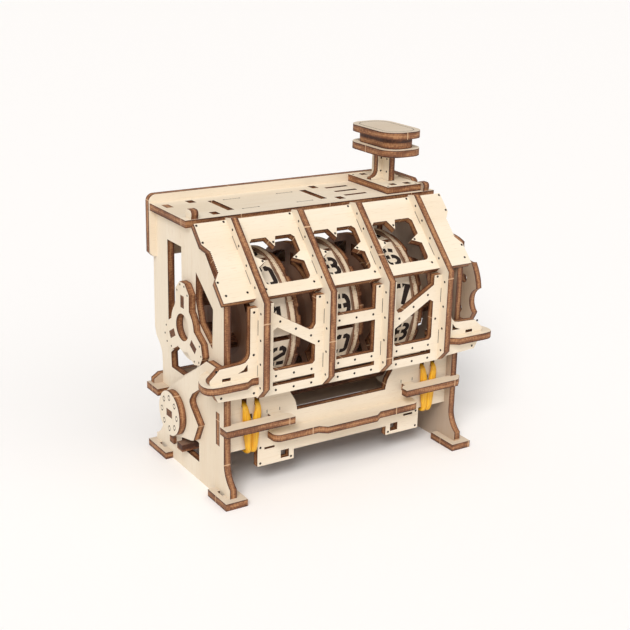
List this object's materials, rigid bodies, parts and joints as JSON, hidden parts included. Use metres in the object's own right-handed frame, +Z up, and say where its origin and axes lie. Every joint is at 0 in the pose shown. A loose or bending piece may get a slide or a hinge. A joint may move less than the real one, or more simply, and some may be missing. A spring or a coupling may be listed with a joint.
{
  "type": "mechanical counter",
  "caption": "Desktop mechanical counter in laser-cut plywood: number drums behind a ribbed windowed front, a press key on top and a reset handwheel at the side.",
  "frame": {"origin": "middle of the machine's outline at the level that the feet stand on", "axes": "+X to the machine's right as its user sees it, +Y from the windowed front to the back, +Z up"},
  "size_m": [0.1404, 0.0704, 0.132],
  "materials": {
    "birch_plywood": "matte",
    "toasted_birch": "matte",
    "yellow_rubber": "satin"
  },
  "bodies": {
    "frame": {"left_side_panel": "birch_plywood", "right_side_panel": "birch_plywood", "feet": "birch_plywood", "top_plate": "birch_plywood", "rear_board": "birch_plywood", "key_base": "birch_plywood", "upper_window_1": "birch_plywood", "upper_window_2": "birch_plywood", "upper_window_3": "birch_plywood", "blank_panels": "birch_plywood", "lower_window_1": "birch_plywood", "lower_window_2": "birch_plywood", "lower_window_3": "birch_plywood", "rib_1": "birch_plywood", "rib_2": "birch_plywood", "rib_3": "birch_plywood", "rib_4": "birch_plywood", "front_board": "birch_plywood", "name_shelf": "birch_plywood", "guard_bars": "birch_plywood", "bracket_shelves": "birch_plywood", "corner_plates": "birch_plywood", "braces": "birch_plywood", "rear_shelf": "birch_plywood", "rear_lower_board": "birch_plywood", "tie_bars": "birch_plywood", "axle_spars": "birch_plywood", "bearing_discs": "birch_plywood", "left_axle_star": "birch_plywood", "right_axle_star": "birch_plywood", "pawl_rod": "toasted_birch", "rubber_bands": "yellow_rubber"},
    "drum_1": {"drum_disc_1": "birch_plywood", "digit_plates_1": "birch_plywood", "drum_ring_1": "toasted_birch", "carry_wheel_1": "toasted_birch"},
    "pawl_1": {"stop_pawl_1": "birch_plywood"},
    "drum_2": {"drum_disc_2": "birch_plywood", "digit_plates_2": "birch_plywood", "drum_ring_2": "toasted_birch", "carry_wheel_2": "toasted_birch"},
    "pawl_2": {"stop_pawl_2": "birch_plywood"},
    "drum_3": {"drum_disc_3": "birch_plywood", "digit_plates_3": "birch_plywood", "drum_ring_3": "toasted_birch", "carry_wheel_3": "toasted_birch"},
    "pawl_3": {"stop_pawl_3": "birch_plywood"},
    "key": {"key_cap_top": "birch_plywood", "key_cap_middle": "birch_plywood", "key_cap_bottom": "birch_plywood", "key_stem": "birch_plywood", "push_bar": "birch_plywood"},
    "reset_wheel": {"reset_shaft": "toasted_birch", "handwheel": "birch_plywood"},
    "lever": {"lever_shaft": "toasted_birch", "lever_discs": "birch_plywood", "press_arm": "birch_plywood", "left_return_arm": "birch_plywood", "right_return_arm": "birch_plywood"}
  },
  "joints": [
    {"name": "drum_1_turn", "type": "hinge", "parent": "frame", "child": "drum_1", "pos_m": [-0.0028, 0.00222, 0.0634], "axis": [-1, 0, 0], "continuous": true},
    {"name": "drum_2_turn", "type": "hinge", "parent": "frame", "child": "drum_2", "pos_m": [-0.0028, 0.00222, 0.0634], "axis": [-1, 0, 0], "continuous": true},
    {"name": "drum_3_turn", "type": "hinge", "parent": "frame", "child": "drum_3", "pos_m": [-0.0028, 0.00222, 0.0634], "axis": [-1, 0, 0], "continuous": true},
    {"name": "pawl_1_lift", "type": "hinge", "parent": "frame", "child": "pawl_1", "pos_m": [-0.0028, 0.03022, 0.0532], "axis": [1, 0, 0], "range_deg": [0, 8]},
    {"name": "pawl_2_lift", "type": "hinge", "parent": "frame", "child": "pawl_2", "pos_m": [-0.0028, 0.03022, 0.0532], "axis": [1, 0, 0], "range_deg": [0, 8]},
    {"name": "pawl_3_lift", "type": "hinge", "parent": "frame", "child": "pawl_3", "pos_m": [-0.0028, 0.03022, 0.0532], "axis": [1, 0, 0], "range_deg": [0, 8]},
    {"name": "key_press", "type": "slide", "parent": "frame", "child": "key", "axis": [0, 0, -1], "range_m": [0, 0.006], "stiffness_N_per_m": 120, "springref_m": -0.006},
    {"name": "reset_turn", "type": "hinge", "parent": "frame", "child": "reset_wheel", "pos_m": [-0.0028, 0.00222, 0.0634], "axis": [-1, 0, 0], "continuous": true},
    {"name": "lever_swing", "type": "hinge", "parent": "frame", "child": "lever", "pos_m": [-0.0028, 0.00843, 0.0254], "axis": [-1, 0, 0], "range_deg": [0, 25], "deforming": ["rubber_bands"]}
  ],
  "couplings": [
    {"joint": "lever_swing", "follows": "key_press", "rad_per_m": 71}
  ]
}
